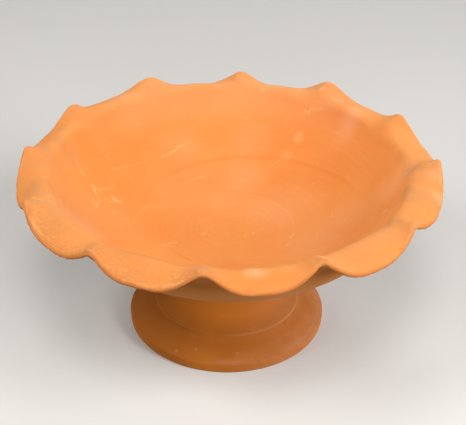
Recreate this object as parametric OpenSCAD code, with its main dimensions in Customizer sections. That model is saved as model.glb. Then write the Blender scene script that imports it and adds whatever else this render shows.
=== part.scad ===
// Footed terracotta fruit bowl with a hand-pinched rim, in millimetres.
// A wide thrown dish stands on a hollow thrown pedestal. The two were joined while leather-hard,
// with slip between the collar and the dish, and a coil of clay smoothed round the seam.
// +Z is up, and the origin is the middle of the ring that the bowl stands on.

/* [Dish] */
// Radius of the crest, where the wall turns over into the pinched flange
crest_r = 124; // [114:1:138]
// Height of the crest above the floor of the dish
bowl_depth = 49.5; // [42:0.5:58]
// Radius of the flat floor inside the dish
floor_r = 51; // [46:1:60]
// Thickness of the floor
floor_t = 9; // [7:0.5:12]
// Thickness of the wall under the crest
crest_t = 8; // [6:0.5:9]
// Slope of the wall where it leaves the floor, in degrees
floor_slope = 10; // [6:1:16]
// Slope of the wall where it reaches the crest, in degrees
crest_slope = 72; // [62:1:78]

/* [Pinched rim] */
// Thickness of the rounded edge
rim_t = 5.5; // [4:0.5:7]
// Number of lobes, with a notch between each two
lobe_count = 12; // [9:1:15]
// Turn of the first notch from the X axis, in degrees
rim_turn = -3; // [-30:1:30]
// How far a lobe's edge stands out past the crest
lobe_reach = 26; // [21:1:30]
// How far a lobe's edge hangs below the crest
lobe_drop = 3; // [2:0.5:6]
// Slope of a lobe at its edge, in degrees, with minus for downwards
lobe_slope = -34; // [-55:1:-20]
// How far a notch's edge stands out past the crest
notch_reach = 19; // [15:1:22]
// How far a notch's edge rises above the crest
notch_rise = 10.5; // [7:0.5:13]
// Slope of a notch at its edge, in degrees
notch_slope = 22; // [12:1:36]

/* [Foot] */
// Height of the pedestal, from the table to the top of its collar
pedestal_h = 66.5; // [58:0.5:80]
// Radius of the foot
foot_r = 73; // [66:0.5:80]
// Height of the foot's upright edge
foot_edge_h = 7.5; // [6:0.5:9]
// Rounding over the top of the foot's edge
foot_edge_round = 1.6; // [1:0.2:2.4]
// Slope of the foot's top where it leaves its edge, in degrees
foot_slope = 20; // [10:1:26]
// Width of the flat ring that the bowl stands on, with its rounded corners
foot_ring_w = 12; // [9:0.5:15]
// Rounding of the standing ring's two corners
foot_ring_round = 1.2; // [0.6:0.2:2]

/* [Stem] */
// Radius of the turned shoulder, where the stem rises from the foot
shoulder_r = 53.5; // [48:0.5:58]
// Height of the shoulder above the table
shoulder_h = 18.5; // [17:0.5:21]
// Height of the crisp step under the shoulder
shoulder_step = 1.8; // [1:0.2:2.4]
// Rounding over the shoulder
shoulder_round = 0.6; // [0.3:0.1:0.8]
// Radius of the stem at its waist
waist_r = 30; // [27:0.5:34]
// Height of the waist above the table
waist_h = 42.5; // [38:0.5:46]
// Radius of the collar that carries the dish
collar_r = 34; // [31:0.5:38]
// Thickness of the stem and the collar
stem_t = 8; // [6:0.5:10]
// Height of the hollow's upright edge, inside the standing ring
hollow_edge_h = 2.2; // [2:0.2:3]

/* [Seam] */
// Thickness of the slip between the collar and the dish
slip_t = 0.8; // [0.4:0.1:1.5]
// Radius of the groove that a fingertip drew round the coil
coil_groove = 9; // [6:0.5:11]
// Thickness of the coil at its two smoothed-out edges
coil_feather = 0.7; // [0.4:0.1:1.2]
// Bare height of the collar's upright band, below the coil
collar_bare = 2; // [1:0.5:4]

/* [Hidden] */
$fn = 96;

// Heights and radii that follow from the stack of pieces
base_z = pedestal_h + slip_t;
floor_z = base_z + floor_t;
crest_z = floor_z + bowl_depth;
base_r = floor_r + floor_t * tan(floor_slope);
under_crest = [crest_r + crest_t * sin(crest_slope), crest_z - crest_t * cos(crest_slope)];
coil_size = coil_groove + coil_feather;
collar_h = coil_size - slip_t + collar_bare;

// How strongly each curve of the dish bows between its ends, as a share of its chord
wall_bow_share = 0.94;
belly_bow_share = 1.13;
flange_bow_share = 1.2;

// Share of the wall's height, along its curve, at which the clay starts to bend into a notch
notch_start_share = 0.94;

// The potter's hand: how each notch and lobe differs from an even pattern, anticlockwise from
// the first notch. Turns and leans are shares of a lobe's width, and the others are shares of
// the reach, rise or drop that they change.
notch_turn_shares = [0.03, 0, 0, -0.01, 0, 0.02, 0, -0.03, -0.06, -0.08, -0.1, -0.04];
notch_reach_shares = [0.12, 0.01, 0.01, -0.02, -0.06, -0.08, -0.03, 0.15, 0.05, -0.05, -0.1, 0.03];
notch_rise_shares = [0.2, 0.13, 0.12, -0.09, -0.07, -0.09, 0.03, -0.13, -0.02, 0.19, 0.26, -0.14];
lobe_reach_shares = [-0.01, -0.01, -0.05, -0.08, -0.03, -0.11, -0.09, -0.03, -0.01, -0.06, -0.02, 0];
lobe_drop_shares = [-0.4, -0.5, -0.1, 0.15, -0.1, 0.25, -0.2, -0.75, -1.2, -1.35, -0.8, -1.05];
lobe_lean_shares = [-0.04, -0.01, -0.07, 0.01, -0.04, 0.05, -0.02, 0.02, 0.02, 0.03, 0.01, -0.02];

// Roundness of each notch: 0 would make it a sharp crease
notch_soft_shares = [0.31, 0.42, 0.47, 0.41, 0.51, 0.58, 0.39, 0.14, 0.13, 0.4, 0.19, 0.08];

// How quickly the rim falls from a notch to the full lobe
lobe_full_power = 1.58;

// Stations round each lobe, drawn in towards its notches by this share of their spacing
lobe_steps = 14;
notch_crowd_share = 0.35;

// Rows along the dish's wall, flange and edge, and back along its underside
wall_rows = 7;
flange_rows = 7;
edge_rows = 4;
under_flange_rows = 5;
belly_rows = 6;

// Slope of the hollow's mouth in degrees, and how far its wall and the stem's bow
hollow_slope = 25;
flare_slope = 18;
step_slope = 38;
flare_bow_share = 1.1;

// Points along each curve of the pedestal, and along each of its roundings
curve_steps = 12;
round_steps = 4;

// Direction that climbs at an angle, and the one square to it, to its right
function climbing(angle) = [cos(angle), sin(angle)];
function beneath(angle) = [sin(angle), -cos(angle)];

// Value at share u of the way from a to b
function blend(a, b, u) = a + (b - a) * u;

// Point at share u of a curve that leaves p0 at angle a0 and reaches p1 at angle a1
function bow(p0, a0, p1, a1, bow_share, u) =
    let (pull = bow_share * norm(p1 - p0))
    (2 * u ^ 3 - 3 * u ^ 2 + 1) * p0
    + (u ^ 3 - 2 * u ^ 2 + u) * pull * climbing(a0)
    + (3 * u ^ 2 - 2 * u ^ 3) * p1
    + (u ^ 3 - u ^ 2) * pull * climbing(a1);

// Angle of the same curve at share u
function bow_slope(p0, a0, p1, a1, bow_share, u) =
    let (
        pull = bow_share * norm(p1 - p0),
        way = (6 * u - 6 * u ^ 2) * (p1 - p0)
            + (3 * u ^ 2 - 4 * u + 1) * pull * climbing(a0)
            + (3 * u ^ 2 - 2 * u) * pull * climbing(a1)
    )
    atan2(way.y, way.x);

// Points along the whole of such a curve
function curve(p0, a0, p1, a1, bow_share = 1) = [
    for (i = [0 : curve_steps])
        bow(p0, a0, p1, a1, bow_share, i / curve_steps)
];

// Points of a rounded corner about a centre, from one angle to another
function rounding(centre, radius, from, to) = [
    for (i = [0 : round_steps])
        centre + radius * climbing(blend(from, to, i / round_steps))
];

// Share in a list for notch or lobe k, which starts again past the end of the list
function hand(shares, k) = shares[k % lobe_count % len(shares)];

// Turn of notch k about the axis
function notch_turn(k) = rim_turn + 360 / lobe_count * (k + hand(notch_turn_shares, k));

// Radius and height of the edge at notch k, and at the middle of lobe k
function notch_edge(k) = [
    crest_r + notch_reach * (1 + hand(notch_reach_shares, k)),
    crest_z + notch_rise * (1 + hand(notch_rise_shares, k))
];
function lobe_edge(k) = [
    crest_r + lobe_reach * (1 + hand(lobe_reach_shares, k)),
    crest_z - lobe_drop * (1 + hand(lobe_drop_shares, k))
];

// How far the rim has gone from notch, at 0, to full lobe, at 1, at share u across lobe k
function lobe_share(k, u) =
    let (
        ease = u ^ 2 * (3 - 2 * u),
        soft = blend(hand(notch_soft_shares, k), hand(notch_soft_shares, k + 1), ease),
        s = sin(180 * (u + hand(lobe_lean_shares, k) * sin(180 * u) ^ 2)),
        rise = (sqrt(s ^ 2 + soft ^ 2) - soft) / (sqrt(1 + soft ^ 2) - soft)
    )
    1 - max(0, 1 - rise) ^ lobe_full_power;

// Inside of the thrown wall at share u of its curve, and its outside
function wall_point(u) =
    bow([floor_r, floor_z], floor_slope, [crest_r, crest_z], crest_slope, wall_bow_share, u);
function wall_angle(u) =
    bow_slope([floor_r, floor_z], floor_slope, [crest_r, crest_z], crest_slope, wall_bow_share, u);
function belly_point(u) =
    bow([base_r, base_z], floor_slope, under_crest, crest_slope, belly_bow_share, u);
function belly_angle(u) =
    bow_slope([base_r, base_z], floor_slope, under_crest, crest_slope, belly_bow_share, u);

// Half section of the dish at share u across lobe k: up the inside, over the edge and back
function dish_section(k, u) =
    let (
        lobe = lobe_share(k, u),
        start = blend(notch_start_share, 1, lobe),
        notch = blend(notch_edge(k), notch_edge(k + 1), u ^ 2 * (3 - 2 * u)),
        edge = blend(notch, lobe_edge(k), lobe),
        slope = blend(notch_slope, lobe_slope, lobe),
        under_edge = edge + rim_t * beneath(slope)
    )
    concat(
        [for (i = [0 : wall_rows - 1])
            wall_point(start * i / wall_rows)],
        [for (i = [0 : flange_rows])
            bow(wall_point(start), wall_angle(start), edge, slope, flange_bow_share,
                i / flange_rows)],
        [for (i = [1 : edge_rows - 1])
            blend(edge, under_edge, 0.5) + rim_t / 2 * climbing(slope + 90 - 180 * i / edge_rows)],
        [for (i = [under_flange_rows : -1 : 0])
            bow(belly_point(start), belly_angle(start), under_edge, slope, flange_bow_share,
                i / under_flange_rows)],
        [for (i = [belly_rows - 1 : -1 : 0])
            belly_point(start * i / belly_rows)]
    );

// The sections stood up round the axis, lobe by lobe
function dish_stations() = [
    for (k = [0 : lobe_count - 1], j = [0 : lobe_steps - 1])
        let (
            even = j / lobe_steps,
            u = even - notch_crowd_share * sin(360 * even) / (2 * PI),
            next = k == lobe_count - 1 ? notch_turn(0) + 360 : notch_turn(k + 1),
            turn = blend(notch_turn(k), next, u)
        )
        [for (p = dish_section(k, u)) [p.x * cos(turn), p.x * sin(turn), p.y]]
];

module dish() {
    stations = dish_stations();
    n = len(stations);
    m = len(stations[0]);
    floor_face = [for (s = [n - 1 : -1 : 0]) s * m];
    base_face = [for (s = [0 : n - 1]) s * m + m - 1];
    skin = [
        for (s = [0 : n - 1], i = [0 : m - 2])
            let (
                here = s * m + i,
                beside = (s + 1) % n * m + i
            )
            each [[here, beside + 1, here + 1], [here, beside, beside + 1]]
    ];
    color("#d9803f")
        polyhedron([for (station = stations) each station], concat([floor_face, base_face], skin));
}

// Half section of the pedestal: up the outside from the standing ring, and down the hollow
function pedestal_section() =
    let (
        edge_centre = [foot_r - foot_edge_round, foot_edge_h - foot_edge_round],
        edge_top = edge_centre + foot_edge_round * climbing(90 - foot_slope),
        step_foot = [shoulder_r, shoulder_h - shoulder_step],
        shoulder_centre = [shoulder_r - shoulder_round, shoulder_h - shoulder_round],
        shoulder_top = shoulder_centre + shoulder_round * climbing(90 - flare_slope),
        waist = [waist_r, waist_h],
        collar_foot = [collar_r, pedestal_h - collar_h],
        mouth_r = foot_r - foot_ring_w,
        wall = [stem_t, 0]
    )
    concat(
        rounding([foot_r - foot_ring_round, foot_ring_round], foot_ring_round, -90, 0),
        rounding(edge_centre, foot_edge_round, 0, 90 - foot_slope),
        curve(edge_top, 180 - foot_slope, step_foot, 180 - step_slope),
        rounding(shoulder_centre, shoulder_round, 0, 90 - flare_slope),
        curve(shoulder_top, 180 - flare_slope, waist, 90, flare_bow_share),
        curve(waist, 90, collar_foot, 90),
        [[collar_r, pedestal_h], [collar_r, pedestal_h] - wall],
        curve(collar_foot - wall, -90, waist - wall, -90),
        curve(waist - wall, -90, [mouth_r, hollow_edge_h], -hollow_slope, flare_bow_share),
        rounding([mouth_r + foot_ring_round, foot_ring_round], foot_ring_round, 180, 270)
    );

module pedestal() {
    color("#b5672a")
        rotate_extrude()
            polygon(pedestal_section());
}

module slip_layer() {
    color("#a85a2c")
        translate([0, 0, pedestal_h])
            rotate_extrude()
                translate([collar_r - stem_t, 0])
                    square([stem_t, slip_t]);
}

// The coil fills the corner between the collar and the dish, less the fingertip's groove
module seam_coil() {
    color("#bd6f35")
        translate([0, 0, base_z - coil_size])
            rotate_extrude()
                difference() {
                    translate([collar_r, 0])
                        square(coil_size);
                    translate([collar_r + coil_size, 0])
                        circle(coil_groove);
                }
}

dish();
pedestal();
slip_layer();
seam_coil();
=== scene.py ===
"""Terracotta fruit bowl with a hand-pinched rim, thrown in two pieces and joined with slip and a coil.

Meshes are worked out in millimetres, and materials, the camera and the lamps in metres. +Z is up
and the camera looks along +Y.
"""
import math
import bpy
import numpy as np
from mathutils import Matrix, Vector


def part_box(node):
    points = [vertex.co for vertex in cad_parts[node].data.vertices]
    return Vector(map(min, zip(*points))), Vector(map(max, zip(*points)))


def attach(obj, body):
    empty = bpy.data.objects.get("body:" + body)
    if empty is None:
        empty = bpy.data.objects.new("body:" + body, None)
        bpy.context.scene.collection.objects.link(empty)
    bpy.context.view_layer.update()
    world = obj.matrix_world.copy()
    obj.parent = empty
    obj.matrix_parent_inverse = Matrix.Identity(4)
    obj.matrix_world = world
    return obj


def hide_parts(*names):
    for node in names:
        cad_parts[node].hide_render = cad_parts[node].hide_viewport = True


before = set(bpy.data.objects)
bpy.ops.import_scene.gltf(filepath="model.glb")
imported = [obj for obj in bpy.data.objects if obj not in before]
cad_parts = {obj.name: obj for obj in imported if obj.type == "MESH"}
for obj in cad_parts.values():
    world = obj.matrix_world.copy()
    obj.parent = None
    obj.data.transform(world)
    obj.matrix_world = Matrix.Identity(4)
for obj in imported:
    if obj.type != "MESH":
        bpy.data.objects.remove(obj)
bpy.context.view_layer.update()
MM = 0.001


# Sizes that the frame gives

def low(node):
    """Lowest corner of a node's box, in millimetres."""
    return [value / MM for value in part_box(node)[0]]


def high(node):
    """Highest corner of a node's box, in millimetres."""
    return [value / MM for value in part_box(node)[1]]


COLLAR_TOP = high("pedestal")[2]
BASE_Z = low("dish")[2]
FOOT_R = high("pedestal")[0]
COLLAR_R = high("slip_layer")[0]
COIL_LOW = low("seam_coil")[2]
COIL_REACH = high("seam_coil")[0] - COLLAR_R

# Sizes of the dish, as the solid has them. Angles are in degrees
FLOOR_T = 9
FLOOR_Z = BASE_Z + FLOOR_T
FLOOR_R = 51
FLOOR_SLOPE = 10
BASE_R = FLOOR_R + FLOOR_T * math.tan(math.radians(FLOOR_SLOPE))
CREST_R = 124
CREST_Z = FLOOR_Z + 49.5
CREST_T = 8
CREST_SLOPE = 72
WALL_BOW, BELLY_BOW, FLANGE_BOW = 0.94, 1.13, 1.2

# Sizes of the pinched rim
RIM_T = 5.5
LOBES = 12
RIM_TURN = -3
LOBE_REACH, LOBE_DROP, LOBE_SLOPE = 26, 3, -34
NOTCH_REACH, NOTCH_RISE, NOTCH_SLOPE = 19, 10.5, 22
NOTCH_START, LOBE_FULL = 0.94, 1.58

# The potter's hand: how each notch and lobe differs from an even pattern, as shares
NOTCH_TURN = [0.03, 0, 0, -0.01, 0, 0.02, 0, -0.03, -0.06, -0.08, -0.1, -0.04]
NOTCH_REACHES = [0.12, 0.01, 0.01, -0.02, -0.06, -0.08, -0.03, 0.15, 0.05, -0.05, -0.1, 0.03]
NOTCH_RISES = [0.2, 0.13, 0.12, -0.09, -0.07, -0.09, 0.03, -0.13, -0.02, 0.19, 0.26, -0.14]
NOTCH_SOFTS = [0.31, 0.42, 0.47, 0.41, 0.51, 0.58, 0.39, 0.14, 0.13, 0.4, 0.19, 0.08]
LOBE_REACHES = [-0.01, -0.01, -0.05, -0.08, -0.03, -0.11, -0.09, -0.03, -0.01, -0.06, -0.02, 0]
LOBE_DROPS = [-0.4, -0.5, -0.1, 0.15, -0.1, 0.25, -0.2, -0.75, -1.2, -1.35, -0.8, -1.05]
LOBE_LEANS = [-0.04, -0.01, -0.07, 0.01, -0.04, 0.05, -0.02, 0.02, 0.02, 0.03, 0.01, -0.02]

# Sizes of the pedestal, as the solid has them
FOOT_EDGE_H, FOOT_EDGE_ROUND, FOOT_SLOPE = 7.5, 1.6, 20
FOOT_RING_W, FOOT_RING_ROUND = 12, 1.2
SHOULDER_R, SHOULDER_H, SHOULDER_STEP, SHOULDER_ROUND = 53.5, 18.5, 1.8, 0.6
STEP_SLOPE, FLARE_SLOPE, FLARE_BOW = 38, 18, 1.1
WAIST_R, WAIST_H = 30, 42.5
COLLAR_H = 10.9
STEM_T = 8
HOLLOW_EDGE_H, HOLLOW_SLOPE = 2.2, 25

# Fineness of the meshes: rows along a stretch of section, stations round a lobe, degrees of turn
WALL_ROWS, FLANGE_ROWS, EDGE_ROWS, UNDER_FLANGE_ROWS, BELLY_ROWS = 72, 28, 12, 20, 52
LOBE_STATIONS, NOTCH_CROWDING = 60, 0.35
BAND_ROWS, NECK_ROWS, SHOULDER_ROWS, COIL_ROWS, BEAD_ROWS = 8, 16, 6, 32, 12
FOOT_TURN_STEP, COIL_TURN_STEP, SLIP_TURN_STEP = 0.75, 1.0, 2.0
DISC_STEP, DISC_HOLE_R, DISC_STATIONS, DISC_CROWDED = 0.8, 2.5, 45, 0.22

# Wheel marks: a spiral's climb for its height, and its even and uneven share of depth
THROW_CLIMB = 1.3
THROW_EVEN, THROW_UNEVEN, THROW_SIZE = 0.6, 0.4, 60

# Unevenness of the dish: how deep, and the size of its features or the pitch of its spirals.
# Throwing marks fade over THROW_FADE, and dips in the notches lie PINCH_DIP_OUT past the crest
SWAY, SWAY_SIZE = 0.22, 55
INSIDE_THROW, INSIDE_PITCH = 0.07, 9.5
OUTSIDE_THROW, OUTSIDE_PITCH = 0.1, 5.5
THROW_FADE = 8
FLANGE_DENT, FLANGE_DENT_SIZE = 0.16, 9
EDGE_DENT, EDGE_DENT_SIZE, EDGE_SINK = 0.12, 3.2, 0.1
EDGE_DENT_SHAPE = [1, 1, 3]
PINCH_DENT, PINCH_DENT_SIZE = 0.14, 4
PINCH_DIP, PINCH_DIP_OUT, PINCH_DIP_W = 0.5, 9, 6
PINCH_FADE_IN = (CREST_R - 4, CREST_R + 7)
BOX_CLEAR = 0.01

# The spiral rib on the dish's back wall, as shares of MARK_R, in radians of turn and in millimetres
MARK_R = 126
RIB_START, RIB_WIDENING = 0.797, 0.08
RIB_FADE_IN, RIB_FADE_OUT = (0.1, 0.5), (2.1, 2.5)
RIB_RISE, RIB_W, RIB_RIDGE_IN, RIB_GROOVE_OUT = 0.2, 2, 2.5, 0.5

# Marks on the dish's floor and base
SPIRAL_RISE, SPIRAL_PITCH = 0.08, 5
SPIRAL_FADE_IN, SPIRAL_FADE_OUT = (2, 10), (30, 46)
BUTTON_RISE, BUTTON_R = 0.25, 7
FINE_RING_RISE, FINE_RING_IN, FINE_RING_W = 0.2, 2.5, 1.0
TRIM_RISE, TRIM_PITCH, TRIM_FADE_OUT = 0.05, 2.4, (46, 52)

# Points further than this from the rim's edge are marked alike
RIM_FAR = 30.0

# Unevenness of the pedestal and its worn ridges, partly painted highlight, and a band of painted
# shade, in the same form as the dish's
FOOT_SWAY, FOOT_SWAY_SIZE = 0.2, 40
FOOT_THROW, FOOT_PITCH = 0.07, 5.5
HOLLOW_THROW, HOLLOW_PITCH = 0.35, 11
FOOT_DENT, FOOT_DENT_SIZE = 0.08, 6
RING_FLAT, COLLAR_FLAT = (0.8, 4), 3
WORN_RIDGE_IN, WORN_RIDGE_W, WORN_LINE_W = 2.5, 2.2, 0.9
WORN_RIDGE_FADE_IN = (FOOT_EDGE_H - 1.2, FOOT_EDGE_H - 0.2)
SHADED_OUT, SHADED_W, SHADED_UNDER = 5, 4, 1

# The coil and the slip
COIL_DIP, COIL_CLEAR, COIL_TUCK_UP, COIL_TUCK_IN = 0.35, 0.05, 0.3, 0.6
COIL_SWELL, COIL_DENT, COIL_DENT_SIZE = 0.35, 0.25, 8
DABS, DAB_DEPTH, DAB_SWAY, DAB_SWAYS = 19, 0.5, 0.4, 3
SLIP_INSET, BEAD_R, BEAD_PULL, BEAD_EVEN, BEAD_SIZE = 0.2, 0.9, 0.6, 0.5, 7


# Curves of a section, in the same form as the solids have

def climbing(angle):
    """A step of length 1 along a slope."""
    angle = np.radians(angle)
    return np.stack([np.cos(angle), np.sin(angle)], -1)


def beneath(angle):
    """A step of length 1 at right angles to a slope, downward."""
    angle = np.radians(angle)
    return np.stack([np.sin(angle), -np.cos(angle)], -1)


def blend(a, b, u):
    return a + (b - a) * u


def bow(p0, a0, p1, a1, bow_share, u):
    """Points at shares u of curves from p0, leaving at angle a0, to p1, arriving at angle a1."""
    p0, p1 = np.asarray(p0, float), np.asarray(p1, float)
    pull = bow_share * np.linalg.norm(p1 - p0, axis=-1, keepdims=True)
    return (
        (2 * u**3 - 3 * u**2 + 1) * p0
        + (u**3 - 2 * u**2 + u) * pull * climbing(a0)
        + (3 * u**2 - 2 * u**3) * p1
        + (u**3 - u**2) * pull * climbing(a1)
    )


def bow_slope(p0, a0, p1, a1, bow_share, u):
    """Angles of such a curve at shares u."""
    p0, p1 = np.asarray(p0, float), np.asarray(p1, float)
    pull = bow_share * np.linalg.norm(p1 - p0)
    way = (6 * u - 6 * u**2) * (p1 - p0)
    way = way + (3 * u**2 - 4 * u + 1) * pull * climbing(a0)
    way = way + (3 * u**2 - 2 * u) * pull * climbing(a1)
    return np.degrees(np.arctan2(way[..., 1], way[..., 0]))


def curve(p0, a0, p1, a1, bow_share=1.0, steps=40):
    u = np.linspace(0, 1, steps + 1)[:, None]
    return bow(p0, a0, p1, a1, bow_share, u)


def rounding(centre, radius, first, last, steps=10):
    """Points of an arc from the first angle to the last."""
    return np.asarray(centre, float) + radius * climbing(np.linspace(first, last, steps + 1))


# Unevenness that a hand and a wheel leave

def wander(points, size, seed, waves=28, shortest=1.2, longest=3.0):
    """A smooth, seamless field from about -1 to 1, with features of about the given size."""
    dice = np.random.default_rng(seed)
    ways = dice.normal(size=(3, waves))
    ways /= np.linalg.norm(ways, axis=0)
    ways *= math.tau / (size * dice.uniform(shortest, longest, waves))
    phases = dice.uniform(0, math.tau, waves)
    return np.cos(points @ ways + phases).sum(-1) / math.sqrt(waves)


def bump(x, centre, width):
    """A soft hump of height 1, about as wide as width."""
    return np.exp(-(((x - centre) / width) ** 2))


def ramp(x, first, last):
    """0 before first and 1 after last, with a smooth rise between."""
    u = np.clip((x - first) / (last - first), 0, 1)
    return u * u * (3 - 2 * u)


def throwing(points, turn, pitch, seed):
    """Finger marks: a spiral that rises as the wheel turns, uneven in depth."""
    radius = np.hypot(points[..., 0], points[..., 1])
    climb = (radius + THROW_CLIMB * points[..., 2]) / pitch + np.radians(turn) / math.tau
    depth = THROW_EVEN + THROW_UNEVEN * wander(points, THROW_SIZE, seed)
    return np.sin(math.tau * climb) * depth


class Skin:
    """A closed mesh made of rings of points that are bridged one to the next."""

    def __init__(self):
        self.points = []
        self.faces = []
        self.marks = {}

    def ring(self, points):
        start = len(self.points)
        self.points.extend(points)
        return list(range(start, start + len(points)))

    def bridge(self, a, b):
        """Faces from ring a to ring b, which has as many points, or half as many."""
        n = len(b)
        for i in range(n):
            j = (i + 1) % n
            if len(a) == n:
                self.faces.append((a[i], a[j], b[j], b[i]))
            else:
                self.faces.append((a[2 * i], a[2 * i + 1], b[i]))
                self.faces.append((a[2 * i + 1], a[2 * j], b[j], b[i]))

    def cover(self, grid, closed=True):
        """Rings for a grid's rows, bridged in order, and the last to the first where closed."""
        rings = [self.ring(row.tolist()) for row in grid]
        following = rings[1:] + rings[:1] if closed else rings[1:]
        for a, b in zip(rings, following):
            self.bridge(a, b)
        return rings

    def cap(self, ring, point):
        tip = self.ring([point])[0]
        n = len(ring)
        self.faces.extend((ring[i], ring[(i + 1) % n], tip) for i in range(n))

    def build(self, name):
        """The piece, in metres, with its faces turned outward and its marks as point attributes."""
        mesh = bpy.data.meshes.new(name)
        faces = [face[::-1] for face in self.faces]
        mesh.from_pydata((np.array(self.points) * MM).tolist(), [], faces)
        mesh.shade_smooth()
        for mark, values in self.marks.items():
            layer = mesh.attributes.new(mark, "FLOAT", "POINT")
            layer.data.foreach_set("value", np.asarray(values, np.float32))
        mesh.validate()
        piece = bpy.data.objects.new(name, mesh)
        bpy.context.scene.collection.objects.link(piece)
        return piece


def outward(grid):
    """Unit normals of a closed grid of points, indexed by row along the section and by station."""
    along = np.gradient(grid, axis=0)
    around = np.roll(grid, -1, axis=1) - np.roll(grid, 1, axis=1)
    normal = np.cross(around, along)
    return normal / np.linalg.norm(normal, axis=-1, keepdims=True)


def spin(section, turns):
    """A section of (radius, height) points, or one for each turn, stood up round the axis."""
    turns = np.radians(turns)
    radius, height = section[..., 0], section[..., 1]
    if section.ndim == 2:
        radius = radius[:, None]
        height = np.repeat(height[:, None], len(turns), 1)
    return np.stack([radius * np.cos(turns), radius * np.sin(turns), height], -1)


# The dish

def rim_stations():
    """Each station's turn round the rim, edge radius and height, slope and lobe share."""
    k = np.repeat(np.arange(LOBES), LOBE_STATIONS)
    even = np.tile(np.arange(LOBE_STATIONS) / LOBE_STATIONS, LOBES)
    u = even - NOTCH_CROWDING * np.sin(2 * np.pi * even) / (2 * np.pi)
    after = (k + 1) % LOBES
    notches = np.arange(LOBES + 1) + np.array(NOTCH_TURN + NOTCH_TURN[:1])
    turns = RIM_TURN + 360 / LOBES * notches
    turn = blend(turns[k], turns[k + 1], u)
    swing = np.sin(np.pi * (u + np.array(LOBE_LEANS)[k] * np.sin(np.pi * u) ** 2))
    ease = u * u * (3 - 2 * u)
    softs = np.array(NOTCH_SOFTS)
    soft = blend(softs[k], softs[after], ease)
    rise = (np.sqrt(swing**2 + soft**2) - soft) / (np.sqrt(1 + soft**2) - soft)
    lobe = 1 - np.maximum(1 - rise, 0) ** LOBE_FULL
    notch_r = CREST_R + NOTCH_REACH * (1 + np.array(NOTCH_REACHES))
    notch_z = CREST_Z + NOTCH_RISE * (1 + np.array(NOTCH_RISES))
    lobe_r = CREST_R + LOBE_REACH * (1 + np.array(LOBE_REACHES))
    lobe_z = CREST_Z - LOBE_DROP * (1 + np.array(LOBE_DROPS))
    edge_r = blend(blend(notch_r[k], notch_r[after], ease), lobe_r[k], lobe)
    edge_z = blend(blend(notch_z[k], notch_z[after], ease), lobe_z[k], lobe)
    slope = blend(NOTCH_SLOPE, LOBE_SLOPE, lobe)
    return turn, np.stack([edge_r, edge_z], -1), slope, lobe


def dish_grid():
    """Points of the dish from the floor's edge over the rim to the base, and each row's stretch."""
    turn, edge, slope, lobe = rim_stations()
    crest = np.array([CREST_R, CREST_Z])
    under_crest = crest + CREST_T * beneath(CREST_SLOPE)
    under_edge = edge + RIM_T * beneath(slope)
    middle = (edge + under_edge) / 2
    floor_edge, base_edge = np.array([FLOOR_R, FLOOR_Z]), np.array([BASE_R, BASE_Z])
    wall = (floor_edge, FLOOR_SLOPE, crest, CREST_SLOPE, WALL_BOW)
    belly = (base_edge, FLOOR_SLOPE, under_crest, CREST_SLOPE, BELLY_BOW)
    start = blend(NOTCH_START, 1, lobe)[:, None]
    flange = (bow(*wall, start), bow_slope(*wall, start), edge, slope, FLANGE_BOW)
    under = (bow(*belly, start), bow_slope(*belly, start), under_edge, slope, FLANGE_BOW)
    rows = []
    for u in np.linspace(0, 1, WALL_ROWS + 1)[:-1]:
        rows.append(("wall", bow(*wall, start * u)))
    for u in np.linspace(0, 1, FLANGE_ROWS + 1):
        rows.append(("flange", bow(*flange, u)))
    for u in np.linspace(0, 1, EDGE_ROWS + 1)[1:-1]:
        rows.append(("edge", middle + RIM_T / 2 * climbing(slope + 90 - 180 * u)))
    for u in np.linspace(1, 0, UNDER_FLANGE_ROWS + 1):
        rows.append(("under_flange", bow(*under, u)))
    for u in np.linspace(1, 0, BELLY_ROWS + 1)[1:]:
        rows.append(("belly", bow(*belly, start * u)))
    stretch = np.array([name for name, _ in rows])
    return spin(np.array([row for _, row in rows]), turn), stretch, turn, lobe


def dish_relief(grid, stretch, turn, near_notch):
    """How far each point of the dish stands out from its plain form."""
    radius = np.hypot(grid[..., 0], grid[..., 1])
    turns = np.broadcast_to(turn, radius.shape)
    angle = np.arctan2(grid[..., 1], grid[..., 0])
    row = stretch[:, None]
    inner = np.isin(row, ["wall", "flange"])
    outer = np.isin(row, ["belly", "under_flange"])
    pinched = np.isin(row, ["flange", "edge", "under_flange"])
    on_wall = ramp(radius, FLOOR_R, FLOOR_R + THROW_FADE)
    on_wall = on_wall * (1 - ramp(radius, CREST_R - THROW_FADE, CREST_R))
    thrown_in = INSIDE_THROW * on_wall * throwing(grid, turns, INSIDE_PITCH, seed=2)
    thrown_out = OUTSIDE_THROW * on_wall * throwing(grid, turns, OUTSIDE_PITCH, seed=3)
    rib = MARK_R * (RIB_START - RIB_WIDENING * angle)
    has_rib = inner * ramp(angle, *RIB_FADE_IN) * (1 - ramp(angle, *RIB_FADE_OUT))
    ridge = bump(radius, rib - RIB_RIDGE_IN, RIB_W) - bump(radius, rib + RIB_GROOVE_OUT, RIB_W)
    edge_dents = wander(grid * EDGE_DENT_SHAPE, EDGE_DENT_SIZE, seed=5)
    pinch_dip = PINCH_DIP * near_notch * bump(radius, CREST_R + PINCH_DIP_OUT, PINCH_DIP_W)
    depth = SWAY * wander(grid, SWAY_SIZE, seed=1)
    depth += np.where(inner, thrown_in, 0)
    depth += RIB_RISE * has_rib * ridge
    depth += np.where(outer, thrown_out, 0)
    depth += np.where(pinched, FLANGE_DENT * wander(grid, FLANGE_DENT_SIZE, seed=4), 0)
    depth += np.where(row == "edge", EDGE_DENT * edge_dents - EDGE_SINK, 0)
    depth += np.where(pinched, PINCH_DENT * near_notch * wander(grid, PINCH_DENT_SIZE, seed=6), 0)
    depth -= np.where(row == "flange", pinch_dip, 0)
    return depth


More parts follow.
